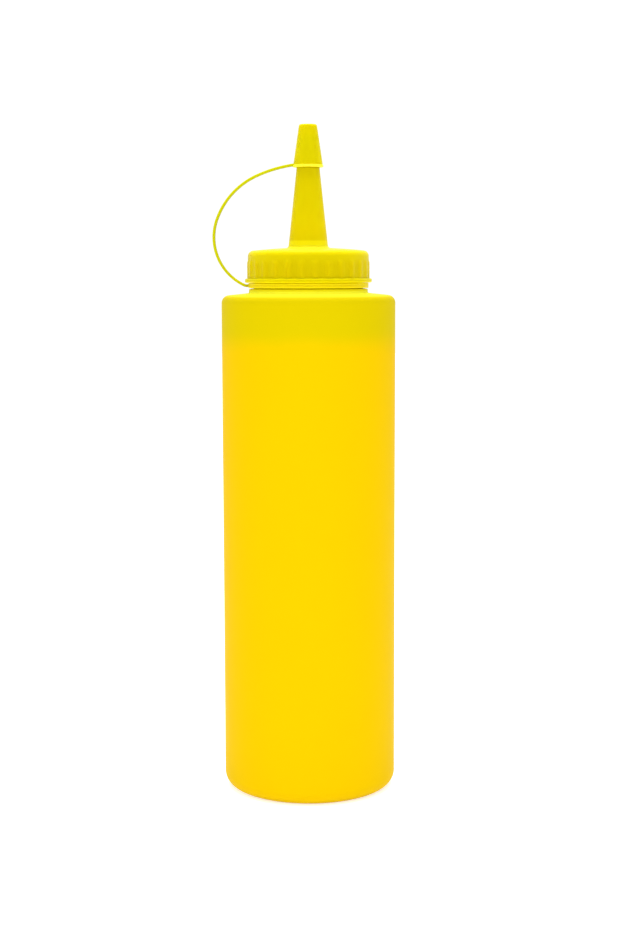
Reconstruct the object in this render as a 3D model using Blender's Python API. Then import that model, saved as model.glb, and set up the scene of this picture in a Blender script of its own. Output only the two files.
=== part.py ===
# Squeeze bottle of sauce: a blow-moulded bottle, a ribbed screw cap with a conical nozzle, a tip cap
# held by a strap on a neck ring, and the sauce inside. Built in metres, standing on z = 0, with the
# bottle's axis on z and the strap towards -x. Lengths below are in millimetres.
import math

import bmesh
import bpy
from mathutils import Vector

MM = 0.001

# Bottle
BODY_RADIUS = 27.5
SHOULDER_HEIGHT = 158.3
WALL = 1.2
FLOOR = 1.4
BASE_CORNER = 4.7
SHOULDER_CORNER = 2.5
SHOULDER_SLOPE = 6.0
BASE_GROOVE_RADII = (15.0, 19.0)
BASE_GROOVE_DEPTH = 0.7
NECK_RADIUS = 17.0
NECK_WALL = 1.3
NECK_TOP = 171.3
BEAD_RADIUS = 18.8
BEAD_TOP = 160.4
EDGE = 0.4
SEGMENTS = 60

# Screw thread on the neck, and the cap's thread half a pitch from it
THREAD_PITCH = 4.0
THREAD_START = 163.9
THREAD_TURNS = 1.1
THREAD_DEPTH = 1.0
THREAD_ROOT = 1.7
THREAD_CREST = 0.8
THREAD_STEPS = 36
THREAD_SINK = 0.3
THREAD_RUN_OUT = 4.0

# Cap
CAP_BOTTOM = 162.2
CAP_CENTRE_HEIGHT = 173.2
CAP_CROWN_RADIUS = 160.0
CAP_WALL = 1.2
CAP_CORNER = 1.8
SKIRT_RADIUS = 19.1
SKIRT_BORE = 18.3
LIP_RADIUS = 20.05
LIP_HEIGHT = 1.4
RIB_COUNT = 28
RIB_RADIUS = 19.65
RIB_WIDTH = 2.4
RIB_CREST = 1.3
RIB_TOP = 169.4
RIB_SLOPE = 0.9

# Nozzle
NOZZLE_FOOT_HEIGHT = 174.3
NOZZLE_FOOT_RADIUS = 6.15
NOZZLE_FLARE = 0.9
NOZZLE_TOP = 207.5
NOZZLE_TAPER = 6.1
NOZZLE_WALL = 1.1

# Tether: neck ring, strap and tip cap in one moulding
RING_BOTTOM = 160.7
RING_HEIGHT = 1.2
RING_RADIUS = 19.0
RING_BORE = 17.4
TIP_TOP = 211.5
TIP_BOTTOM = 198.2
TIP_RIM_RADIUS = 4.75
TIP_TAPER = 8.4
TIP_CORNER = 0.7
TIP_GAP = 0.3
TIP_SEGMENTS = 32
STRAP_THICKNESS = 1.1
STRAP_WIDTH = 2.8
STRAP_START = (-3.97, 199.02)
STRAP_START_SLOPE = 7.2
STRAP_ARCS = ((42.8, 17.0), (23.8, 45.8), (16.5, 87.4))
STRAP_STEP = 5.0
STRAP_LUG_REACH = 20.4
STRAP_LUG_THICKNESS = 1.0

# Sauce
FILL_HEIGHT = 144.5
CLEARANCE = 0.3


def clear_scene():
    for old in list(bpy.data.objects):
        bpy.data.objects.remove(old, do_unlink=True)


def plastic(name, colour, roughness):
    material = bpy.data.materials.new(name)
    material.use_nodes = True
    shader = material.node_tree.nodes["Principled BSDF"]
    shader.inputs["Base Color"].default_value = (*colour, 1.0)
    shader.inputs["Roughness"].default_value = roughness
    shader.inputs["Metallic"].default_value = 0.0
    return material


def arc(centre, radius, start, end, steps):
    """Points on an arc in the (r, z) plane, with angles in degrees from +r towards +z."""
    points = []
    for step in range(steps + 1):
        angle = math.radians(start + (end - start) * step / steps)
        points.append((centre[0] + radius * math.cos(angle), centre[1] + radius * math.sin(angle)))
    return points


def add_object(name, mesh, material=None):
    piece = bpy.data.objects.new(name, mesh)
    bpy.context.scene.collection.objects.link(piece)
    if material:
        mesh.materials.append(material)
    return piece


def turned(name, outline, material, closed=False, segments=SEGMENTS):
    """A piece turned about z. The outline of (r, z) points runs down the outer side first."""
    mesh = bpy.data.meshes.new(name)
    points = [(r * MM, 0.0, z * MM) for r, z in outline]
    edges = [(i, i + 1) for i in range(len(points) - 1)]
    if closed:
        edges.append((len(points) - 1, 0))
    mesh.from_pydata(points, edges, [])
    piece = add_object(name, mesh, material)
    screw = piece.modifiers.new("Turn", "SCREW")
    screw.steps = segments
    screw.render_steps = segments
    screw.use_merge_vertices = True
    screw.merge_threshold = 0.00001
    screw.use_smooth_shade = True
    return piece


def solid_mesh(name, rings):
    """A mesh through rings of points with equal counts, capped at both ends."""
    shape = bmesh.new()
    loops = [[shape.verts.new(Vector(point) * MM) for point in ring] for ring in rings]
    for before, after in zip(loops, loops[1:]):
        for i in range(len(before)):
            j = (i + 1) % len(before)
            shape.faces.new((before[i], before[j], after[j], after[i]))
    shape.faces.new(loops[0])
    shape.faces.new(loops[-1])
    bmesh.ops.recalc_face_normals(shape, faces=shape.faces)
    mesh = bpy.data.meshes.new(name)
    shape.to_mesh(mesh)
    shape.free()
    return mesh


def fuse(piece, others):
    """Joins other pieces to this one, and keeps them only as guides."""
    group = bpy.data.collections.new(piece.name + "_joined")
    for other in others:
        group.objects.link(other)
        other.hide_render = True
        other.display_type = "WIRE"
    joined = piece.modifiers.new("Join", "BOOLEAN")
    joined.operation = "UNION"
    joined.operand_type = "COLLECTION"
    joined.collection = group
    joined.solver = "EXACT"


def helix_ridge(name, wall_radius, height, outward):
    """A thread's ridge of trapezium section on a wall, sunk a little into it, with tapered ends."""
    side = 1.0 if outward else -1.0
    count = int(THREAD_STEPS * THREAD_TURNS)
    rings = []
    for step in range(count + 1):
        angle = 2.0 * math.pi * step / THREAD_STEPS
        middle = height + THREAD_PITCH * step / THREAD_STEPS
        run_out = min(1.0, (step + 1) / THREAD_RUN_OUT, (count - step + 1) / THREAD_RUN_OUT)
        crest = wall_radius + side * THREAD_DEPTH * run_out
        root = wall_radius - side * THREAD_SINK
        section = (
            (root, middle - THREAD_ROOT / 2),
            (crest, middle - THREAD_CREST / 2),
            (crest, middle + THREAD_CREST / 2),
            (root, middle + THREAD_ROOT / 2),
        )
        rings.append([(r * math.cos(angle), r * math.sin(angle), z) for r, z in section])
    return add_object(name, solid_mesh(name, rings))


def bottle_outline():
    """The shell's closed outline: down the outside, across the base, then up the inside."""
    slope = math.radians(SHOULDER_SLOPE)
    corner_r = BODY_RADIUS - SHOULDER_CORNER
    corner_z = SHOULDER_HEIGHT - SHOULDER_CORNER
    shoulder_arc = arc((corner_r, corner_z), SHOULDER_CORNER, 90 - SHOULDER_SLOPE, 0, 4)
    shoulder_r, shoulder_z = shoulder_arc[0]
    bead_foot = shoulder_z + (shoulder_r - BEAD_RADIUS) * math.tan(slope)
    groove_in, groove_out = BASE_GROOVE_RADII
    bore = NECK_RADIUS - NECK_WALL
    outside = [
        (bore, NECK_TOP),
        (NECK_RADIUS - EDGE, NECK_TOP),
        (NECK_RADIUS, NECK_TOP - EDGE),
        (NECK_RADIUS, BEAD_TOP),
        (BEAD_RADIUS, BEAD_TOP - EDGE / 2),
        (BEAD_RADIUS, bead_foot + EDGE),
        (BEAD_RADIUS + EDGE, bead_foot),
        *shoulder_arc,
        *arc((BODY_RADIUS - BASE_CORNER, BASE_CORNER), BASE_CORNER, 0, -90, 6),
        (groove_out, 0.0),
        (groove_out - BASE_GROOVE_DEPTH, BASE_GROOVE_DEPTH),
        (groove_in + BASE_GROOVE_DEPTH, BASE_GROOVE_DEPTH),
        (groove_in, 0.0),
        (0.0, 0.0),
    ]
    inner_base = BASE_CORNER - WALL
    inner_shoulder = arc((corner_r, corner_z), SHOULDER_CORNER - WALL, 0, 90 - SHOULDER_SLOPE, 3)
    inner_r, inner_z = inner_shoulder[-1]
    inside = [
        (0.0, FLOOR),
        *arc((BODY_RADIUS - BASE_CORNER, FLOOR + inner_base), inner_base, -90, 0, 4),
        *inner_shoulder,
        (bore + WALL, inner_z + (inner_r - bore - WALL) * math.tan(slope)),
        (bore, BEAD_TOP - EDGE),
    ]
    return outside + inside


def make_bottle():
    material = plastic("bottle_plastic", (0.86, 0.62, 0.02), 0.35)
    bottle = turned("bottle", bottle_outline(), material, closed=True)
    fuse(bottle, [helix_ridge("neck_thread", NECK_RADIUS, THREAD_START, outward=True)])


def crown_height(radius):
    """Height of the cap's shallow domed top at a radius."""
    return CAP_CENTRE_HEIGHT - radius * radius / (2.0 * CAP_CROWN_RADIUS)


def nozzle_radius(height):
    """Outer radius of the nozzle's cone at a height."""
    return NOZZLE_FOOT_RADIUS - (height - NOZZLE_FOOT_HEIGHT) * math.tan(math.radians(NOZZLE_TAPER))


def cap_outline():
    """The cap's closed outline: down the nozzle and the skirt, then up the inside to the tip."""
    flare = NOZZLE_FOOT_RADIUS + NOZZLE_FLARE
    corner_r = SKIRT_RADIUS - CAP_CORNER
    corner_z = crown_height(corner_r) - CAP_CORNER
    lip_top = CAP_BOTTOM + LIP_HEIGHT
    inner_top = NECK_TOP + CLEARANCE
    tip = nozzle_radius(NOZZLE_TOP)
    outside = [
        (tip - NOZZLE_WALL, NOZZLE_TOP),
        (tip - EDGE, NOZZLE_TOP),
        (tip, NOZZLE_TOP - EDGE),
        (NOZZLE_FOOT_RADIUS, NOZZLE_FOOT_HEIGHT),
        (NOZZLE_FOOT_RADIUS + NOZZLE_FLARE / 3, crown_height(flare) + NOZZLE_FLARE / 3),
        (flare, crown_height(flare)),
        (SKIRT_RADIUS * 0.65, crown_height(SKIRT_RADIUS * 0.65)),
        *arc((corner_r, corner_z), CAP_CORNER, 84, 0, 5),
        (SKIRT_RADIUS, lip_top + EDGE / 2),
        (LIP_RADIUS - EDGE, lip_top),
        (LIP_RADIUS, lip_top - EDGE),
        (LIP_RADIUS, CAP_BOTTOM + EDGE),
        (LIP_RADIUS - EDGE, CAP_BOTTOM),
    ]
    inside = [
        (SKIRT_BORE + EDGE, CAP_BOTTOM),
        (SKIRT_BORE, CAP_BOTTOM + EDGE),
        (SKIRT_BORE, inner_top - CAP_WALL),
        (SKIRT_BORE - CAP_WALL, inner_top),
        (NOZZLE_FOOT_RADIUS - NOZZLE_WALL / 2, inner_top),
        (NOZZLE_FOOT_RADIUS - NOZZLE_WALL, NOZZLE_FOOT_HEIGHT),
    ]
    return outside + inside


def rib(index):
    """One grip rib: a bar up the skirt with a narrower crest, sunk into the wall, sloped at its top."""
    root, foot = SKIRT_RADIUS - EDGE, CAP_BOTTOM + LIP_HEIGHT - EDGE
    half, crest = RIB_WIDTH / 2, RIB_CREST / 2
    crest_top = RIB_TOP - RIB_SLOPE
    turn = 2.0 * math.pi * (index + 0.5) / RIB_COUNT
    corners = []
    for x, crest_height, root_height in ((-1, foot, foot), (1, crest_top, RIB_TOP)):
        ring = [
            (root, -half, root_height),
            (RIB_RADIUS, -crest, crest_height),
            (RIB_RADIUS, crest, crest_height),
            (root, half, root_height),
        ]
        corners.append(
            [
                (r * math.cos(turn) - w * math.sin(turn), r * math.sin(turn) + w * math.cos(turn), z)
                for r, w, z in ring
            ]
        )
    name = f"rib_{index:02d}"
    return add_object(name, solid_mesh(name, corners))


def make_cap():
    material = plastic("cap_plastic", (0.80, 0.56, 0.01), 0.3)
    cap = turned("cap", cap_outline(), material, closed=True)
    thread = helix_ridge("cap_thread", SKIRT_BORE, THREAD_START + THREAD_PITCH / 2, outward=False)
    fuse(cap, [rib(index) for index in range(RIB_COUNT)] + [thread])


def tip_outline():
    """The tip cap's closed outline: down its cone, then up the inside, a gap clear of the nozzle."""
    tan_outer = math.tan(math.radians(TIP_TAPER))
    top_radius = TIP_RIM_RADIUS - (TIP_TOP - TIP_BOTTOM) * tan_outer
    bore_bottom = nozzle_radius(TIP_BOTTOM) + TIP_GAP
    bore_height = NOZZLE_TOP + TIP_GAP
    bore_top = nozzle_radius(bore_height) + TIP_GAP
    return [
        (0.0, TIP_TOP),
        *arc((top_radius - TIP_CORNER, TIP_TOP - TIP_CORNER), TIP_CORNER, 90, TIP_TAPER, 3),
        (TIP_RIM_RADIUS, TIP_BOTTOM + EDGE),
        (TIP_RIM_RADIUS - EDGE / 2, TIP_BOTTOM),
        (bore_bottom, TIP_BOTTOM),
        (bore_top, bore_height),
        (0.0, bore_height),
    ]


def strap_path():
    """Points and headings along the strap: tangent arcs that tighten from the tip cap to the ring."""
    x, z = STRAP_START
    heading = math.radians(180.0 + STRAP_START_SLOPE)
    path = [(x, z, heading)]
    for radius, sweep in STRAP_ARCS:
        steps = round(sweep / STRAP_STEP)
        for _ in range(steps):
            turn = math.radians(sweep / steps)
            x += radius * (math.sin(heading + turn) - math.sin(heading))
            z -= radius * (math.cos(heading + turn) - math.cos(heading))
            heading += turn
            path.append((x, z, heading))
    return path


def make_strap():
    half, edge, chamfer = STRAP_THICKNESS / 2, STRAP_WIDTH / 2, EDGE / 2
    section = (
        (-half, -edge + chamfer), (-half + chamfer, -edge), (half - chamfer, -edge), (half, -edge + chamfer),
        (half, edge - chamfer), (half - chamfer, edge), (-half + chamfer, edge), (-half, edge - chamfer),
    )
    rings = []
    for x, z, heading in strap_path():
        across = (-math.sin(heading), math.cos(heading))
        rings.append([(x + a * across[0], b, z + a * across[1]) for a, b in section])
    return add_object("strap", solid_mesh("strap", rings))


def make_lug():
    """The short tongue on the ring that the strap's lower end grows out of."""
    edge, half = STRAP_WIDTH / 2, STRAP_LUG_THICKNESS / 2
    middle = RING_BOTTOM + RING_HEIGHT / 2
    section = ((-edge, middle - half), (edge, middle - half), (edge, middle + half), (-edge, middle + half))
    rings = [[(-x, y, z) for y, z in section] for x in (RING_BORE + EDGE, STRAP_LUG_REACH)]
    return add_object("strap_lug", solid_mesh("strap_lug", rings))


def make_tether():
    material = plastic("tether_plastic", (0.78, 0.58, 0.03), 0.35)
    top, bevel = RING_BOTTOM + RING_HEIGHT, EDGE / 2
    ring_outline = [
        (RING_BORE, top),
        (RING_RADIUS - bevel, top),
        (RING_RADIUS, top - bevel),
        (RING_RADIUS, RING_BOTTOM + bevel),
        (RING_RADIUS - bevel, RING_BOTTOM),
        (RING_BORE, RING_BOTTOM),
    ]
    tether = turned("tether", ring_outline, material, closed=True)
    tip_cap = turned("tip_cap", tip_outline(), None, segments=TIP_SEGMENTS)
    fuse(tether, [make_strap(), make_lug(), tip_cap])


def make_sauce():
    material = plastic("sauce", (0.85, 0.48, 0.01), 0.4)
    radius = BODY_RADIUS - WALL - CLEARANCE
    bottom = FLOOR + CLEARANCE
    corner = BASE_CORNER - WALL - CLEARANCE
    outline = [
        (0.0, FILL_HEIGHT),
        (radius, FILL_HEIGHT),
        *arc((radius - corner, bottom + corner), corner, 0, -90, 4),
        (0.0, bottom),
    ]
    turned("sauce", outline, material)


clear_scene()
make_bottle()
make_cap()
make_tether()
make_sauce()
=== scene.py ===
import math

import bmesh
import bpy
from mathutils import Matrix, Vector


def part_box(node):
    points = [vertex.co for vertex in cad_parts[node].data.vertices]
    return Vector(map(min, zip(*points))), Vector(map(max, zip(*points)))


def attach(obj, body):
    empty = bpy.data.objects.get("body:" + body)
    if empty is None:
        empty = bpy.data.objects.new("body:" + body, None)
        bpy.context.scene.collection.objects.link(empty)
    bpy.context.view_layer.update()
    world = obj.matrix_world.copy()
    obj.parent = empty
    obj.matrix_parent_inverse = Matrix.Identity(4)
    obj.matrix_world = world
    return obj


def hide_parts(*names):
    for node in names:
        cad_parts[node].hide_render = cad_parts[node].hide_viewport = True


# Squeeze bottle of yellow sauce, shut with its tip cap. Sizes are in millimetres until a mesh is made.
# It stands on z = 0 round the z axis, and the tip cap's strap arches over to -x.
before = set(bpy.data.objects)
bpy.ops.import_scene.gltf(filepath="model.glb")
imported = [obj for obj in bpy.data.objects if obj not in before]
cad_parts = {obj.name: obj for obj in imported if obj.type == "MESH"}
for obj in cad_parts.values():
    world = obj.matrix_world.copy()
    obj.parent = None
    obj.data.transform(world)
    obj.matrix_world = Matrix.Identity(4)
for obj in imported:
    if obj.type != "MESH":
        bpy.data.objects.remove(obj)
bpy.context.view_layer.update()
mm = 0.001
body = "root"


def nodeBox(name):
    # lowest and highest corner of a frame node, in millimetres
    low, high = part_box(name)
    return low / mm, high / mm


bottleBox = nodeBox("bottle")
capBox = nodeBox("cap")
tetherBox = nodeBox("tether")
sauceBox = nodeBox("sauce")


# camera and studio

cameraSettings = {
    "place": (0.50, -539.1, 165.0),
    "pitch": -6.46,              # degrees, down to the bottle
    "roll": -0.163,              # the bottle in the photo leans a little to the left
    "imageHeight": 931,          # pixels
    "focalPixels": 1694.0,
    "sensor": 36.0,
}


def addCamera():
    settings = cameraSettings
    data = bpy.data.cameras.new("camera")
    data.sensor_width = settings["sensor"]
    data.lens = settings["focalPixels"] * settings["sensor"] / settings["imageHeight"]
    data.clip_start = 0.01
    data.clip_end = 20.0
    camera = bpy.data.objects.new("camera", data)
    bpy.context.scene.collection.objects.link(camera)
    tilt = Matrix.Rotation(math.radians(90.0 + settings["pitch"]), 4, "X")
    roll = Matrix.Rotation(math.radians(settings["roll"]), 4, "Z")
    camera.matrix_world = Matrix.Translation(Vector(settings["place"]) * mm) @ tilt @ roll
    bpy.context.scene.camera = camera
    print("camera placed")


studioSettings = {
    "sky": (1.0, 1.0, 1.0, 1.0),
    "skyStrength": 1.06,
    "floorSize": 6.0,            # metres
    "floorColour": (0.74, 0.74, 0.74, 1.0),
    "floorGlow": 0.5,            # lit from below, so that only a faint shadow is left at the base
    "aim": (0.0, 0.0, 0.11),     # metres, where the lights point
    "lights": {                  # place in metres, disc size in metres, watts
        "overhead": ((0.0, 0.0, 1.3), 1.0, 20.0),
        "front": ((-0.12, -1.3, 0.6), 0.8, 6.0),
    },
}


def addStudio():
    settings = studioSettings
    scene = bpy.context.scene
    scene.world = bpy.data.worlds.new("paleStudio")
    scene.world.use_nodes = True
    sky = scene.world.node_tree.nodes["Background"]
    sky.inputs["Color"].default_value = settings["sky"]
    sky.inputs["Strength"].default_value = settings["skyStrength"]
    scene.view_settings.view_transform = "Standard"
    for name, (place, size, power) in settings["lights"].items():
        light = bpy.data.lights.new(name, "AREA")
        light.shape = "DISK"
        light.size = size
        light.energy = power
        lamp = bpy.data.objects.new(name, light)
        scene.collection.objects.link(lamp)
        aim = (Vector(settings["aim"]) - Vector(place)).to_track_quat("-Z", "Y")
        lamp.matrix_world = Matrix.Translation(place) @ aim.to_matrix().to_4x4()
    half = settings["floorSize"] / 2
    mesh = bpy.data.meshes.new("studioFloor")
    corners = [(-half, -half, 0.0), (half, -half, 0.0), (half, half, 0.0), (-half, half, 0.0)]
    mesh.from_pydata(corners, [], [(0, 1, 2, 3)])
    floor = bpy.data.objects.new("studioFloor", mesh)
    scene.collection.objects.link(floor)
    paper, _, shader = newFinish("palePaper", {"Specular IOR Level": 0.0, "Roughness": 0.9})
    shader.inputs["Base Color"].default_value = settings["floorColour"]
    shader.inputs["Emission Color"].default_value = (1.0, 1.0, 1.0, 1.0)
    shader.inputs["Emission Strength"].default_value = settings["floorGlow"]
    mesh.materials.append(paper)
    print("studio lit")


# helpers for node trees

def feed(tree, socket, term):
    # a socket takes a link or a plain value
    if isinstance(term, bpy.types.NodeSocket):
        tree.links.new(term, socket)
    else:
        socket.default_value = term


def addNode(tree, kind, feeds=None, **attributes):
    node = tree.nodes.new(kind)
    for name, value in attributes.items():
        setattr(node, name, value)
    for socket, term in (feeds or {}).items():
        feed(tree, node.inputs[socket], term)
    return node


def calc(tree, operation, *terms):
    return addNode(tree, "ShaderNodeMath", dict(enumerate(terms)), operation=operation).outputs[0]


def smoothRamp(tree, value, start, end, low=0.0, high=1.0):
    feeds = {"Value": value, "From Min": start, "From Max": end, "To Min": low, "To Max": high}
    return addNode(tree, "ShaderNodeMapRange", feeds, interpolation_type="SMOOTHSTEP").outputs["Result"]


def mixColour(tree, factor, first, second, blend="MIX"):
    feeds = {0: factor, 6: first, 7: second}
    return addNode(tree, "ShaderNodeMix", feeds, data_type="RGBA", blend_type=blend).outputs[2]


def noise(tree, place, scale, detail=1.0):
    feeds = {"Vector": place, "Scale": scale, "Detail": detail}
    return addNode(tree, "ShaderNodeTexNoise", feeds).outputs["Fac"]


def newTree(name, kind, inputs, outputs):
    tree = bpy.data.node_groups.new(name, kind)
    for label, (socketType, value) in inputs.items():
        socket = tree.interface.new_socket(label, in_out="INPUT", socket_type=socketType)
        if value is not None:
            socket.default_value = value
    for label, socketType in outputs.items():
        tree.interface.new_socket(label, in_out="OUTPUT", socket_type=socketType)
    return tree, tree.nodes.new("NodeGroupInput").outputs, tree.nodes.new("NodeGroupOutput").inputs


# shader groups

def buildMouldedSkin():
    # cloudy colour, drawn streaks and fine grain of moulded polyethylene
    inputs = {
        "Colour": ("NodeSocketColor", (0.9, 0.7, 0.0, 1.0)),
        "Deep Tint": ("NodeSocketColor", (0.96, 0.94, 0.9, 1.0)),
        "Cloud Scale": ("NodeSocketFloat", 60.0),
        "Roughness": ("NodeSocketFloat", 0.4),
        "Roughness Spread": ("NodeSocketFloat", 0.06),
        "Streak Scale": ("NodeSocketFloat", 260.0),
        "Streak Height": ("NodeSocketFloat", 0.4),
        "Streak Squeeze": ("NodeSocketVector", (1.0, 1.0, 0.06)),
        "Grain Scale": ("NodeSocketFloat", 1500.0),
    }
    outputs = {"Colour": "NodeSocketColor", "Roughness": "NodeSocketFloat", "Height": "NodeSocketFloat"}
    tree, given, result = newTree("mouldedSkin", "ShaderNodeTree", inputs, outputs)
    place = addNode(tree, "ShaderNodeTexCoord").outputs["Object"]
    clouds = noise(tree, place, given["Cloud Scale"], 2.0)
    clouded = mixColour(tree, clouds, given["Colour"], given["Deep Tint"], "MULTIPLY")
    feed(tree, result["Colour"], clouded)
    drawn = addNode(tree, "ShaderNodeMapping", {"Vector": place, "Scale": given["Streak Squeeze"]})
    streaks = noise(tree, drawn.outputs["Vector"], given["Streak Scale"])
    streaks = calc(tree, "SUBTRACT", streaks, 0.5)
    roughness = calc(tree, "MULTIPLY_ADD", streaks, given["Roughness Spread"], given["Roughness"])
    feed(tree, result["Roughness"], roughness)
    grain = noise(tree, place, given["Grain Scale"])
    feed(tree, result["Height"], calc(tree, "MULTIPLY_ADD", streaks, given["Streak Height"], grain))
    return tree


def buildHeightBlend():
    # 0 below a height and 1 above it, with a soft and uneven edge
    inputs = {
        "Height": ("NodeSocketFloat", 0.1445),
        "Softness": ("NodeSocketFloat", 0.006),
        "Waver": ("NodeSocketFloat", 0.002),
        "Waver Scale": ("NodeSocketFloat", 45.0),
    }
    tree, given, result = newTree("heightBlend", "ShaderNodeTree", inputs, {"Above": "NodeSocketFloat"})
    place = addNode(tree, "ShaderNodeTexCoord").outputs["Object"]
    height = addNode(tree, "ShaderNodeSeparateXYZ", {0: place}).outputs["Z"]
    wander = calc(tree, "SUBTRACT", noise(tree, place, given["Waver Scale"]), 0.5)
    height = calc(tree, "MULTIPLY_ADD", wander, given["Waver"], height)
    low = calc(tree, "SUBTRACT", given["Height"], given["Softness"])
    high = calc(tree, "ADD", given["Height"], given["Softness"])
    feed(tree, result["Above"], smoothRamp(tree, height, low, high))
    return tree


# finishes, each with its shader's sockets, the skin's inputs and its colours, with light and shade
# painted into many of them

def newFinish(name, sockets):
    material = bpy.data.materials.new(name)
    material.use_nodes = True
    shader = material.node_tree.nodes["Principled BSDF"]
    for socket, value in sockets.items():
        shader.inputs[socket].default_value = value
    return material, material.node_tree, shader


def makeFinish(name, settings, skin, heightBlend):
    # the colour changes at each height of its bands, which hold the plastic's own tones and painted
    # light and shade, then the moulded skin clouds it and roughens it
    material, tree, shader = newFinish(name, settings["shader"])
    colour = settings["colour"]
    for height, softness, waver, above in settings["toneAndPaintedLightBands"]:
        feeds = {"Height": height, "Softness": softness, "Waver": waver}
        blend = addNode(tree, "ShaderNodeGroup", feeds, node_tree=heightBlend)
        colour = mixColour(tree, blend.outputs["Above"], colour, above)
    feeds = {"Colour": colour, **settings["skin"]}
    surface = addNode(tree, "ShaderNodeGroup", feeds, node_tree=skin)
    feed(tree, shader.inputs["Base Color"], surface.outputs["Colour"])
    feed(tree, shader.inputs["Roughness"], surface.outputs["Roughness"])
    feeds = {"Height": surface.outputs["Height"], "Distance": settings["relief"]}
    feed(tree, shader.inputs["Normal"], addNode(tree, "ShaderNodeBump", feeds).outputs["Normal"])
    return material


bottleFinish = {
    "shader": {
        "IOR": 1.14,
        "Transmission Weight": 0.2,
        "Specular IOR Level": 0.01,
        "Specular Tint": (1.0, 0.86, 0.02, 1.0),
    },
    "skin": {
        "Cloud Scale": 40.0,
        "Deep Tint": (0.99, 0.97, 0.9, 1.0),
        "Roughness": 0.4,
        "Grain Scale": 900.0,
    },
    "relief": 0.00001,           # metres
    "colour": (0.675, 0.45, 0.0004, 1.0),
    "toneAndPaintedLightBands": (                   # height, softness and waver in metres, then the colour above
        (0.1439, 0.0044, 0.003, (0.56, 0.447, 0.0006, 1.0)),     # no sauce behind the wall
        (0.1562, 0.0006, 0.0002, (0.51, 0.41, 0.001, 1.0)),      # shoulder's rounded edge, painted shade
        (0.1580, 0.0005, 0.0001, (0.76, 0.62, 0.02, 1.0)),       # shoulder's top, painted highlight from the light above
        (0.1588, 0.0003, 0.0, (0.90, 0.90, 0.035, 1.0)),         # foot of the bead, painted highlight
        (0.15955, 0.0003, 0.0, (0.76, 0.67, 0.004, 1.0)),        # bead, painted light that lifts the shade under the ring
        (0.1602, 0.0002, 0.0, (0.96, 0.86, 0.004, 1.0)),         # neck, painted light that lifts the shade under the ring and cap
    ),
}

softPlastic = {                  # shared by the cap and the tether
    "IOR": 1.45,
    "Specular IOR Level": 0.03,
    "Specular Tint": (1.0, 0.86, 0.02, 1.0),
    "Subsurface Weight": 0.6,
    "Subsurface Radius": (1.0, 0.8, 0.1),
    "Subsurface Scale": 0.003,
}

capFinish = {
    "shader": softPlastic,
    "skin": {
        "Cloud Scale": 90.0,
        "Deep Tint": (0.98, 0.97, 0.9, 1.0),
        "Roughness": 0.36,
    },
    "relief": 0.00001,
    # below the lip: painted light that lifts the shade between the lip and the ring
    "colour": (0.74, 0.63, 0.002, 1.0),
    "toneAndPaintedLightBands": (
        (0.1625, 0.0002, 0.0, (0.44, 0.385, 0.0008, 1.0)),       # lip
        (0.1636, 0.0003, 0.0, (0.455, 0.362, 0.0006, 1.0)),      # skirt
        (0.1690, 0.0016, 0.0, (0.470, 0.390, 0.001, 1.0)),       # rounded corner
        (0.1717, 0.0004, 0.0, (0.57, 0.505, 0.010, 1.0)),        # crown, painted highlight from the light above
        (0.1738, 0.0003, 0.0, (0.62, 0.54, 0.003, 1.0)),         # nozzle's foot, painted highlight
        (0.1753, 0.0004, 0.0, (0.505, 0.405, 0.0006, 1.0)),      # nozzle, painted light that is strongest near its foot
        (0.1830, 0.0060, 0.0, (0.45, 0.372, 0.0006, 1.0)),       # nozzle's middle, where the painted light fades out
        (0.1950, 0.0040, 0.0, (0.445, 0.37, 0.0006, 1.0)),       # nozzle's end
    ),
}

tetherFinish = {
    "shader": softPlastic,
    "skin": {
        "Cloud Scale": 120.0,
        "Deep Tint": (0.98, 0.97, 0.9, 1.0),
        "Roughness": 0.38,
    },
    "relief": 0.00001,
    "colour": (0.78, 0.63, 0.003, 1.0),                          # ring's lower edge, painted light that lifts the shade between the ring and the bead
    "toneAndPaintedLightBands": (
        (0.1609, 0.0002, 0.0, (0.64, 0.51, 0.005, 1.0)),         # ring's face, painted light that lifts the shade under the lip
        (0.1617, 0.0002, 0.0, (0.84, 0.68, 0.004, 1.0)),         # ring's upper edge, painted light in the shade under the lip
        (0.1800, 0.0100, 0.0, (0.95, 0.80, 0.035, 1.0)),         # foot of the tip cap, painted highlight along its rim's lower edge
        (0.1989, 0.0002, 0.0, (0.44, 0.375, 0.0008, 1.0)),       # tip cap
    ),
}

strapFinish = {
    **tetherFinish,
    "shader": {**softPlastic, "Subsurface Weight": 0.0},
    "colour": (0.45, 0.44, 0.003, 1.0),                          # where it joins the ring, painted shade
    "toneAndPaintedLightBands": (
        (0.1640, 0.0010, 0.0, (0.39, 0.39, 0.002, 1.0)),         # above the ring, painted shade that makes the thin strap darker and less red than the ring
    ),
}

sauceFinish = {
    "shader": {
        "IOR": 1.38,
        "Specular Tint": (1.0, 0.8, 0.1, 1.0),
        "Subsurface Weight": 0.3,
        "Subsurface Radius": (1.0, 0.5, 0.05),
        "Subsurface Scale": 0.003,
    },
    "skin": {
        "Cloud Scale": 55.0,
        "Deep Tint": (0.98, 0.94, 0.9, 1.0),
        "Roughness": 0.42,
        "Grain Scale": 500.0,
        "Streak Height": 0.0,
    },
    "relief": 0.00003,
    "colour": (0.93, 0.60, 0.002, 1.0),
    "toneAndPaintedLightBands": (
        (0.1405, 0.0045, 0.003, (0.92, 0.68, 0.003, 1.0)),       # paler just under its level: partly its thin film at the wall, partly painted light from the hollow above
    ),
}


# helpers for outlines and meshes

def arc(centre, radius, start, end, steps):
    # points in the (r, z) plane, degrees from +r towards +z
    points = []
    for step in range(steps + 1):
        angle = math.radians(start + (end - start) * step / steps)
        points.append((centre[0] + radius * math.cos(angle), centre[1] + radius * math.sin(angle)))
    return points


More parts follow.
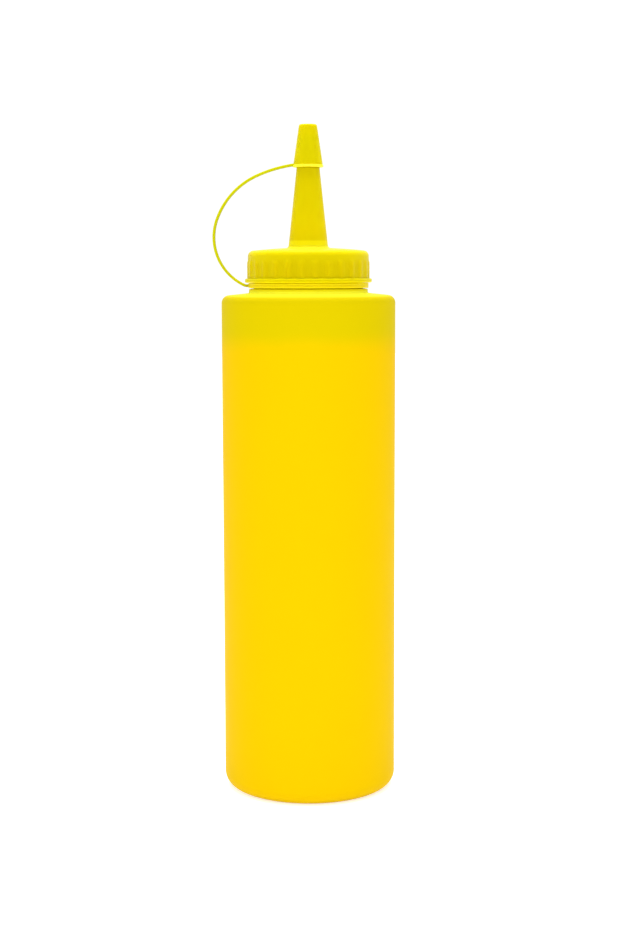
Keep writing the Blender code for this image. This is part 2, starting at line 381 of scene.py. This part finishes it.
def eased(corners, radius, steps=6):
    # the outline with each inner corner eased by a curve that starts this far along, or as far as fits
    points = [corners[0]]
    for before, corner, after in zip(corners, corners[1:], corners[2:]):
        here = Vector(corner)
        back = Vector(before) - here
        ahead = Vector(after) - here
        reach = min(radius, back.length * 0.48, ahead.length * 0.48)
        first = here + back.normalized() * reach
        last = here + ahead.normalized() * reach
        for step in range(steps + 1):
            t = step / steps
            points.append(tuple(first * (1 - t) ** 2 + here * (2 * t * (1 - t)) + last * t ** 2))
    return points + [corners[-1]]


def turned(name, outline, segments, closed=False):
    # a mesh turned about z from (r, z) points; a point on the axis makes a pole
    shape = bmesh.new()
    rings = []
    for r, z in outline:
        if r < 1e-6:
            rings.append([shape.verts.new((0.0, 0.0, z * mm))])
            continue
        turns = [2 * math.pi * i / segments for i in range(segments)]
        places = [(r * mm * math.cos(turn), r * mm * math.sin(turn), z * mm) for turn in turns]
        rings.append([shape.verts.new(place) for place in places])
    pairs = list(zip(rings, rings[1:]))
    if closed:
        pairs.append((rings[-1], rings[0]))
    for upper, lower in pairs:
        for i in range(segments):
            j = (i + 1) % segments
            ends = [upper[k % len(upper)] for k in (i, j)] + [lower[k % len(lower)] for k in (j, i)]
            corners = list(dict.fromkeys(ends))
            if len(corners) > 2:
                shape.faces.new(corners)
    bmesh.ops.recalc_face_normals(shape, faces=shape.faces)
    mesh = bpy.data.meshes.new(name)
    shape.to_mesh(mesh)
    shape.free()
    return mesh


def newPiece(name, mesh, finish=None):
    piece = bpy.data.objects.new(name, mesh)
    bpy.context.scene.collection.objects.link(piece)
    if finish:
        mesh.materials.append(finish)
    return piece


def smoothed(piece, sharpAngle=35.0):
    piece.data.shade_smooth()
    piece.data.set_sharp_from_angle(angle=math.radians(sharpAngle))
    return piece


def applyTree(piece, tree, values):
    # runs a geometry tree on a piece and keeps the result as its plain mesh
    modifier = piece.modifiers.new(tree.name, "NODES")
    modifier.node_group = tree
    for item in tree.interface.items_tree:
        if item.in_out == "INPUT" and item.name in values:
            modifier[item.identifier] = values[item.name]
    graph = bpy.context.evaluated_depsgraph_get()
    mesh = bpy.data.meshes.new_from_object(piece.evaluated_get(graph))
    mesh.name = piece.name
    piece.modifiers.clear()
    piece.data = mesh
    return piece


def joined(piece, others):
    # closed shells that run into each other, kept as one moulding, each with its own finish
    shape = bmesh.new()
    finishes = piece.data.materials
    for part in (piece, *others):
        finish = part.data.materials[0]
        if finish.name not in finishes:
            finishes.append(finish)
        for face in part.data.polygons:
            face.material_index = finishes.find(finish.name)
        shape.from_mesh(part.data)
    shape.to_mesh(piece.data)
    shape.free()
    for other in others:
        bpy.data.objects.remove(other)
    return piece


def handOver(piece, node):
    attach(piece, body)
    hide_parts(node)
    triangles = sum(len(face.vertices) - 2 for face in piece.data.polygons)
    print(f"{piece.name}: {triangles} triangles")


# geometry trees

def newGeometryTree(name, values):
    # a geometry goes in and comes out, and the finish is the last input
    inputs = {
        "Geometry": ("NodeSocketGeometry", None),
        **values,
        "Finish": ("NodeSocketMaterial", None),
    }
    return newTree(name, "GeometryNodeTree", inputs, {"Geometry": "NodeSocketGeometry"})


def endTree(tree, geometry, given, result):
    real = addNode(tree, "GeometryNodeRealizeInstances", {"Geometry": geometry}).outputs["Geometry"]
    finish = addNode(tree, "GeometryNodeSetMaterial", {"Geometry": real, "Material": given["Finish"]})
    feed(tree, result["Geometry"], finish.outputs["Geometry"])
    return tree


def buildGripRibs():
    # pushes a turned skirt out into rounded ribs, evenly round the z axis
    inputs = {
        "Count": ("NodeSocketInt", 28),
        "Depth": ("NodeSocketFloat", 0.00055),
        "Rib Share": ("NodeSocketFloat", 0.4),
        "Softness": ("NodeSocketFloat", 0.16),
        "Skirt Radius": ("NodeSocketFloat", 0.0191),
        "Bottom": ("NodeSocketFloat", 0.1636),
        "Top": ("NodeSocketFloat", 0.1692),
        "Top Fade": ("NodeSocketFloat", 0.001),
        "Tolerance": ("NodeSocketFloat", 0.00002),
    }
    tree, given, result = newGeometryTree("gripRibs", inputs)
    place = addNode(tree, "GeometryNodeInputPosition").outputs["Position"]
    x, y, z = addNode(tree, "ShaderNodeSeparateXYZ", {0: place}).outputs
    turns = calc(tree, "DIVIDE", calc(tree, "ARCTAN2", y, x), math.tau)
    pitches = calc(tree, "MULTIPLY", turns, given["Count"])
    near = calc(tree, "PINGPONG", pitches, 0.5)      # 0 in a valley, 0.5 on a rib
    edge = calc(tree, "MULTIPLY_ADD", given["Rib Share"], -0.5, 0.5)
    foot = calc(tree, "SUBTRACT", edge, given["Softness"])
    crest = calc(tree, "ADD", edge, given["Softness"])
    wave = smoothRamp(tree, near, foot, crest)
    fadeFrom = calc(tree, "SUBTRACT", given["Top"], given["Top Fade"])
    belowTop = smoothRamp(tree, z, fadeFrom, given["Top"], 1.0, 0.0)
    aboveLip = calc(tree, "GREATER_THAN", z, given["Bottom"])
    flat = addNode(tree, "ShaderNodeCombineXYZ", {"X": x, "Y": y}).outputs["Vector"]
    radius = addNode(tree, "ShaderNodeVectorMath", {0: flat}, operation="LENGTH").outputs["Value"]
    onSkirt = calc(tree, "COMPARE", radius, given["Skirt Radius"], given["Tolerance"])
    push = given["Depth"]
    for share in (wave, belowTop, aboveLip, onSkirt):
        push = calc(tree, "MULTIPLY", push, share)
    outward = addNode(tree, "ShaderNodeVectorMath", {0: flat}, operation="NORMALIZE").outputs["Vector"]
    offset = addNode(tree, "ShaderNodeVectorMath", {0: outward, "Scale": push}, operation="SCALE")
    feeds = {"Geometry": given["Geometry"], "Offset": offset.outputs["Vector"]}
    moved = addNode(tree, "GeometryNodeSetPosition", feeds)
    return endTree(tree, moved.outputs["Geometry"], given, result)


def buildScrewThread():
    # a helical ridge of trapezium section on a wall, thinner towards both ends
    inputs = {
        "Radius": ("NodeSocketFloat", 0.01735),
        "Start Height": ("NodeSocketFloat", 0.164),
        "Pitch": ("NodeSocketFloat", 0.004),
        "Turns": ("NodeSocketFloat", 1.1),
        "Height": ("NodeSocketFloat", 0.0013),
        "Root Width": ("NodeSocketFloat", 0.0017),
        "Crest Width": ("NodeSocketFloat", 0.0008),
        "Section Turn": ("NodeSocketFloat", 0.0),
        "Run Out": ("NodeSocketFloat", 0.08),
        "End Scale": ("NodeSocketFloat", 0.4),
        "Steps": ("NodeSocketInt", 96),
    }
    tree, given, result = newGeometryTree("screwThread", inputs)
    helix = addNode(tree, "GeometryNodeCurveSpiral", {
        "Resolution": given["Steps"],
        "Rotations": given["Turns"],
        "Start Radius": given["Radius"],
        "End Radius": given["Radius"],
        "Height": calc(tree, "MULTIPLY", given["Pitch"], given["Turns"]),
    })
    upright = addNode(tree, "GeometryNodeSetCurveNormal", {"Curve": helix.outputs["Curve"]}, mode="Z_UP")
    along = addNode(tree, "GeometryNodeSplineParameter").outputs["Factor"]
    fromEnd = calc(tree, "PINGPONG", along, 0.5)
    thinned = smoothRamp(tree, fromEnd, 0.0, given["Run Out"], given["End Scale"], 1.0)
    section = addNode(tree, "GeometryNodeCurvePrimitiveQuadrilateral", {
        "Height": given["Height"],
        "Bottom Width": given["Root Width"],
        "Top Width": given["Crest Width"],
        "Offset": 0.0,
    }, mode="TRAPEZOID")
    turn = addNode(tree, "ShaderNodeCombineXYZ", {"Z": given["Section Turn"]}).outputs["Vector"]
    feeds = {"Geometry": section.outputs["Curve"], "Rotation": turn}
    facing = addNode(tree, "GeometryNodeTransform", feeds)
    ridge = addNode(tree, "GeometryNodeCurveToMesh", {
        "Curve": upright.outputs["Curve"],
        "Profile Curve": facing.outputs["Geometry"],
        "Scale": thinned,
        "Fill Caps": True,
    })
    lift = addNode(tree, "ShaderNodeCombineXYZ", {"Z": given["Start Height"]}).outputs["Vector"]
    feeds = {"Geometry": ridge.outputs["Mesh"], "Translation": lift}
    placed = addNode(tree, "GeometryNodeTransform", feeds)
    return endTree(tree, placed.outputs["Geometry"], given, result)


def buildStrapSweep():
    # sweeps a flat strap with eased edges along the incoming line of points
    inputs = {
        "Width": ("NodeSocketFloat", 0.0028),
        "Thickness": ("NodeSocketFloat", 0.0011),
        "Edge Radius": ("NodeSocketFloat", 0.0004),
        "Edge Steps": ("NodeSocketInt", 4),
    }
    tree, given, result = newGeometryTree("strapSweep", inputs)
    line = addNode(tree, "GeometryNodeMeshToCurve", {"Mesh": given["Geometry"]}).outputs["Curve"]
    box = addNode(tree, "GeometryNodeCurvePrimitiveQuadrilateral", {
        "Width": given["Width"],
        "Height": given["Thickness"],
    }, mode="RECTANGLE")
    softened = addNode(tree, "GeometryNodeFilletCurve", {
        "Curve": box.outputs["Curve"],
        "Count": given["Edge Steps"],
        "Radius": given["Edge Radius"],
        "Limit Radius": True,
    }, mode="POLY")
    sweep = addNode(tree, "GeometryNodeCurveToMesh", {
        "Curve": line,
        "Profile Curve": softened.outputs["Curve"],
        "Fill Caps": True,
    })
    return endTree(tree, sweep.outputs["Mesh"], given, result)


# screw threads, one on the neck and one in the cap, half a pitch apart

threadSettings = {
    "pitch": 4.0,
    "turns": 1.1,
    "depth": 1.0,
    "sink": 0.3,                 # how far its root reaches into the wall
    "rootWidth": 1.7,
    "crestWidth": 0.8,
    "neckStart": 163.9,
    "skirtBore": 18.3,
}


def makeThread(name, tree, finish, wallRadius, startHeight, outward):
    # the ridge stands outward (1) or inward (-1) from a wall
    s = threadSettings
    thread = newPiece(name, bpy.data.meshes.new(name))
    applyTree(thread, tree, {
        "Radius": (wallRadius + outward * (s["depth"] - s["sink"]) / 2) * mm,
        "Start Height": startHeight * mm,
        "Pitch": s["pitch"] * mm,
        "Turns": s["turns"],
        "Height": (s["depth"] + s["sink"]) * mm,
        "Root Width": s["rootWidth"] * mm,
        "Crest Width": s["crestWidth"] * mm,
        "Section Turn": -outward * math.pi / 2,
        "Finish": finish,
    })
    return smoothed(thread)


# bottle

bottleSettings = {
    "radius": bottleBox[1].x,
    "shoulderHeight": 158.3,
    "wall": 1.2,
    "floor": 1.4,
    "baseCorner": 4.7,
    "shoulderCorner": 2.5,
    "shoulderSlope": 6.0,        # degrees
    "grooveInner": 15.0,
    "grooveOuter": 19.0,
    "grooveDepth": 0.7,
    "neckRadius": 17.0,
    "neckWall": 1.3,
    "neckTop": bottleBox[1].z,
    "beadRadius": 18.8,
    "beadTop": 160.4,
    "segments": 192,
    "beadChamfer": 0.2,
    "neckEase": 0.4,             # how far along each corner's curve starts
    "grooveEase": 0.5,
    "grooveRun": 1.5,            # flat on both sides of the groove
    "throatEase": 0.8,
    "throatRun": 1.0,            # straight end of the neck's bore
    "nudge": 0.1,                # a first point on the shoulder's slope, past its round edge
}


def bottleOutline():
    # down the outside, over the base and up the inside
    s = bottleSettings
    slope = math.tan(math.radians(s["shoulderSlope"]))
    bore = s["neckRadius"] - s["neckWall"]
    turnIn = s["radius"] - s["shoulderCorner"]
    turnHeight = s["shoulderHeight"] - s["shoulderCorner"]
    shoulder = arc((turnIn, turnHeight), s["shoulderCorner"], 90 - s["shoulderSlope"], 0, 12)
    beadFoot = shoulder[0][1] + (shoulder[0][0] - s["beadRadius"]) * slope
    neck = [
        (bore, s["neckTop"]),
        (s["neckRadius"], s["neckTop"]),
        (s["neckRadius"], s["beadTop"]),
        (s["beadRadius"], s["beadTop"] - s["beadChamfer"]),
        (s["beadRadius"], beadFoot),
        (shoulder[0][0] - s["nudge"], shoulder[0][1] + s["nudge"] * slope),
    ]
    groove = [
        (s["grooveOuter"] + s["grooveRun"], 0.0),
        (s["grooveOuter"], 0.0),
        (s["grooveOuter"] - s["grooveDepth"], s["grooveDepth"]),
        (s["grooveInner"] + s["grooveDepth"], s["grooveDepth"]),
        (s["grooveInner"], 0.0),
        (s["grooveInner"] - s["grooveRun"], 0.0),
    ]
    baseCentre = s["radius"] - s["baseCorner"]
    base = arc((baseCentre, s["baseCorner"]), s["baseCorner"], 0, -90, 14)
    outside = eased(neck, s["neckEase"]) + shoulder + base
    outside += eased(groove, s["grooveEase"]) + [(0.0, 0.0)]
    innerBase = s["baseCorner"] - s["wall"]
    inside = [(0.0, s["floor"])] + arc((baseCentre, s["floor"] + innerBase), innerBase, -90, 0, 10)
    inside += arc((turnIn, turnHeight), s["shoulderCorner"] - s["wall"], 0, 90 - s["shoulderSlope"], 8)
    lastR, lastZ = inside[-1]
    throat = [
        (lastR - s["nudge"], lastZ + s["nudge"] * slope),
        (bore + s["wall"], lastZ + (lastR - bore - s["wall"]) * slope),
        (bore, s["beadTop"]),
        (bore, s["neckTop"] - s["throatRun"]),
    ]
    return outside + inside + eased(throat, s["throatEase"])


def makeBottle(finish, threadTree):
    s = bottleSettings
    mesh = turned("bottleShell", bottleOutline(), s["segments"], closed=True)
    shell = smoothed(newPiece("bottleShell", mesh, finish))
    handOver(shell, "bottle")
    start = threadSettings["neckStart"]
    thread = makeThread("neckThread", threadTree, finish, s["neckRadius"], start, 1)
    handOver(thread, "bottle")


# cap

capSettings = {
    "bottom": capBox[0].z,
    "centreHeight": 173.2,
    "crownRadius": 160.0,
    "innerTop": 171.6,
    "corner": 1.8,
    "skirtRadius": 19.1,
    "lipRadius": capBox[1].x,
    "lipHeight": 1.4,
    "ribCount": 28,
    "ribDepth": 0.28,
    "ribTop": 169.4,
    "segments": 336,             # twelve to a rib
    "nozzleTop": capBox[1].z,
    "nozzleFoot": 174.3,
    "nozzleRadius": 6.15,
    "nozzleTaper": 6.1,          # degrees
    "nozzleWall": 1.1,
    "nozzleBend": 173.1,         # height where the nozzle starts to flare
    "flareRadius": 8.2,          # and how far out it meets the crown
    "crownRings": (9.5, 11.0, 12.5, 14.0, 15.5),
    "cornerStart": 84,           # degrees, level with the crown's slope
    "skirtRows": 14,             # rows of points that the ribs bend
    "skirtFoot": 0.3,            # plain foot of the skirt above the lip
    "lipSlope": 0.15,
    "boreRun": 1.5,
    "ceilingCorner": 1.2,
    "ceilingRun": 2.0,
    "nozzleEase": 0.9,
    "lipEase": 0.45,
    "ceilingEase": 0.5,
}


def crownHeight(radius):
    return capSettings["centreHeight"] - radius * radius / (2.0 * capSettings["crownRadius"])


def nozzleRadiusAt(height):
    s = capSettings
    return s["nozzleRadius"] - (height - s["nozzleFoot"]) * math.tan(math.radians(s["nozzleTaper"]))


def capOutline():
    # down the nozzle, the crown and the skirt, then up the inside
    s = capSettings
    tip = nozzleRadiusAt(s["nozzleTop"])
    turnIn = s["skirtRadius"] - s["corner"]
    turnHeight = crownHeight(turnIn) - s["corner"]
    lipTop = s["bottom"] + s["lipHeight"]
    bore = threadSettings["skirtBore"]
    nozzle = [
        (tip - s["nozzleWall"], s["nozzleTop"]),
        (tip, s["nozzleTop"]),
        (nozzleRadiusAt(s["nozzleBend"]), s["nozzleBend"]),
        (s["flareRadius"], crownHeight(s["flareRadius"])),
    ]
    crown = [(r, crownHeight(r)) for r in s["crownRings"]]
    corner = arc((turnIn, turnHeight), s["corner"], s["cornerStart"], 0, 9)
    rows = s["skirtRows"]
    drop = lipTop + s["skirtFoot"] - turnHeight
    skirt = [(s["skirtRadius"], turnHeight + drop * i / rows) for i in range(1, rows)]
    lip = [
        (s["skirtRadius"], lipTop + s["skirtFoot"]),
        (s["skirtRadius"], lipTop),
        (s["lipRadius"], lipTop - s["lipSlope"]),
        (s["lipRadius"], s["bottom"]),
        (bore, s["bottom"]),
        (bore, s["bottom"] + s["boreRun"]),
    ]
    ceiling = [
        (bore, s["innerTop"] - s["ceilingRun"]),
        (bore, s["innerTop"] - s["ceilingCorner"]),
        (bore - s["ceilingCorner"], s["innerTop"]),
        (s["nozzleRadius"] - s["nozzleWall"] / 2, s["innerTop"]),
        (s["nozzleRadius"] - s["nozzleWall"], s["nozzleFoot"]),
        (tip - s["nozzleWall"], s["nozzleTop"] - s["ceilingRun"]),
    ]
    outside = eased(nozzle, s["nozzleEase"]) + crown + corner + skirt
    return outside + eased(lip, s["lipEase"]) + eased(ceiling, s["ceilingEase"])


def makeCap(finish, ribTree, threadTree):
    s = capSettings
    cap = newPiece("ribbedCap", turned("ribbedCap", capOutline(), s["segments"], closed=True))
    applyTree(cap, ribTree, {
        "Count": s["ribCount"],
        "Depth": s["ribDepth"] * mm,
        "Skirt Radius": s["skirtRadius"] * mm,
        "Bottom": (s["bottom"] + s["lipHeight"]) * mm,
        "Top": s["ribTop"] * mm,
        "Finish": finish,
    })
    start = threadSettings["neckStart"] + threadSettings["pitch"] / 2
    bore = threadSettings["skirtBore"]
    thread = makeThread("capThread", threadTree, finish, bore, start, -1)
    joined(cap, [thread])
    handOver(smoothed(cap), "cap")


# tip cap, strap and neck ring, one moulding

tetherSettings = {
    "ringBottom": 160.5,
    "ringHeight": 1.6,
    "ringRadius": tetherBox[1].x,
    "ringBore": 17.4,
    "ringSegments": 160,
    "tipTop": tetherBox[1].z,
    "tipBottom": 198.2,
    "tipTaper": 8.4,             # degrees
    "rimRadius": 4.75,
    "rimHeight": 0.7,
    "tipGap": 0.3,
    "tipSegments": 96,
    "strapWidth": 2.8,
    "strapThickness": 0.85,
    "strapEdge": 0.35,
    "strapStart": (-3.97, 199.02),
    "strapSlope": 7.2,           # degrees, down from level as it leaves the tip cap
    "strapArcs": ((42.8, 17.0), (23.8, 45.8), (16.5, 87.4)),   # radius and degrees of each arc
    "strapStep": 2.0,            # degrees
    "strapRoot": 18.2,           # how near the axis the lower end reaches into the ring
    "strapRun": 0.6,             # how far out from the ring its level end starts
    "strapEase": 0.8,
    "ringEase": 0.2,
    "tipEase": 0.7,
    "tipFlat": 1.2,              # from the tip cap's edge to the flat of its top
    "rimStep": 0.1,              # how far the rim stands out of the cone
    "boreFlat": 0.5,
}


def tipOutline():
    s = tetherSettings
    taper = math.tan(math.radians(s["tipTaper"]))
    topRadius = s["rimRadius"] - (s["tipTop"] - s["tipBottom"]) * taper
    boreTop = capSettings["nozzleTop"] + s["tipGap"]
    rimTop = s["tipBottom"] + s["rimHeight"]
    outer = [
        (topRadius - s["tipFlat"], s["tipTop"]),
        (topRadius, s["tipTop"]),
        (s["rimRadius"] - s["rimHeight"] * taper, rimTop),
        (s["rimRadius"] + s["rimStep"], rimTop - s["rimStep"]),
        (s["rimRadius"] + s["rimStep"], s["tipBottom"]),
        (nozzleRadiusAt(s["tipBottom"]) + s["tipGap"], s["tipBottom"]),
        (nozzleRadiusAt(boreTop) + s["tipGap"], boreTop),
        (s["boreFlat"], boreTop),
    ]
    return [(0.0, s["tipTop"])] + eased(outer, s["tipEase"]) + [(0.0, boreTop)]


def strapLine():
    # tangent arcs that tighten from the tip cap to the ring, then a short run into the ring
    s = tetherSettings
    x, z = s["strapStart"]
    heading = math.radians(180.0 + s["strapSlope"])
    points = [(x, z)]
    for radius, sweep in s["strapArcs"]:
        steps = round(sweep / s["strapStep"])
        turn = math.radians(sweep / steps)
        for _ in range(steps):
            x += radius * (math.sin(heading + turn) - math.sin(heading))
            z -= radius * (math.cos(heading + turn) - math.cos(heading))
            heading += turn
            points.append((x, z))
    level = s["ringBottom"] + s["ringHeight"] / 2
    run = [(x, z), (-s["ringRadius"] - s["strapRun"], level), (-s["strapRoot"], level)]
    return points[:-1] + eased(run, s["strapEase"], 4)


def makeTether(finish, strapPlastic, strapTree):
    s = tetherSettings
    top = s["ringBottom"] + s["ringHeight"]
    middle = (s["ringRadius"] + s["ringBore"]) / 2
    band = [
        (middle, top),
        (s["ringRadius"], top),
        (s["ringRadius"], s["ringBottom"]),
        (s["ringBore"], s["ringBottom"]),
        (s["ringBore"], top),
        (middle, top),
    ]
    outline = eased(band, s["ringEase"])[:-1]
    mesh = turned("tipCapTether", outline, s["ringSegments"], closed=True)
    ring = newPiece("tipCapTether", mesh, finish)
    tip = newPiece("tipCap", turned("tipCap", tipOutline(), s["tipSegments"]), finish)
    line = bpy.data.meshes.new("strap")
    points = [(x * mm, 0.0, z * mm) for x, z in strapLine()]
    line.from_pydata(points, [(i, i + 1) for i in range(len(points) - 1)], [])
    strap = applyTree(newPiece("strap", line), strapTree, {
        "Width": s["strapWidth"] * mm,
        "Thickness": s["strapThickness"] * mm,
        "Edge Radius": s["strapEdge"] * mm,
        "Finish": strapPlastic,
    })
    joined(ring, [tip, strap])
    handOver(smoothed(ring), "tether")


# sauce

sauceSettings = {
    "level": sauceBox[1].z,
    "sink": 0.2,                 # how far it reaches into the wall, so that no air shows between them
    "meniscus": 1.0,             # how far it climbs the wall at its level
    "surfaceEase": 1.2,
    "surfaceFlat": 2.0,
    "segments": 160,
}


def makeSauce(finish):
    s = sauceSettings
    radius = bottleSettings["radius"] - bottleSettings["wall"] + s["sink"]
    bottom = bottleSettings["floor"] - s["sink"]
    corner = bottleSettings["baseCorner"] - bottleSettings["wall"] + s["sink"]
    surface = [
        (s["surfaceFlat"], s["level"]),
        (radius - s["meniscus"], s["level"]),
        (radius, s["level"] + s["meniscus"]),
        (radius, s["level"] - s["meniscus"]),
    ]
    outline = [(0.0, s["level"])] + eased(surface, s["surfaceEase"])
    outline += arc((radius - corner, bottom + corner), corner, 0, -90, 10) + [(0.0, bottom)]
    sauce = newPiece("sauceFill", turned("sauceFill", outline, s["segments"]), finish)
    handOver(smoothed(sauce, sharpAngle=60.0), "sauce")


def main():
    addCamera()
    addStudio()
    skin = buildMouldedSkin()
    heightBlend = buildHeightBlend()
    bottlePlastic = makeFinish("bottlePlastic", bottleFinish, skin, heightBlend)
    capPlastic = makeFinish("capPlastic", capFinish, skin, heightBlend)
    tetherPlastic = makeFinish("tetherPlastic", tetherFinish, skin, heightBlend)
    strapPlastic = makeFinish("strapPlastic", strapFinish, skin, heightBlend)
    sauce = makeFinish("thickSauce", sauceFinish, skin, heightBlend)
    print("finishes mixed")
    threadTree = buildScrewThread()
    makeBottle(bottlePlastic, threadTree)
    makeCap(capPlastic, buildGripRibs(), threadTree)
    makeTether(tetherPlastic, strapPlastic, buildStrapSweep())
    makeSauce(sauce)
    print("bottle built")


main()
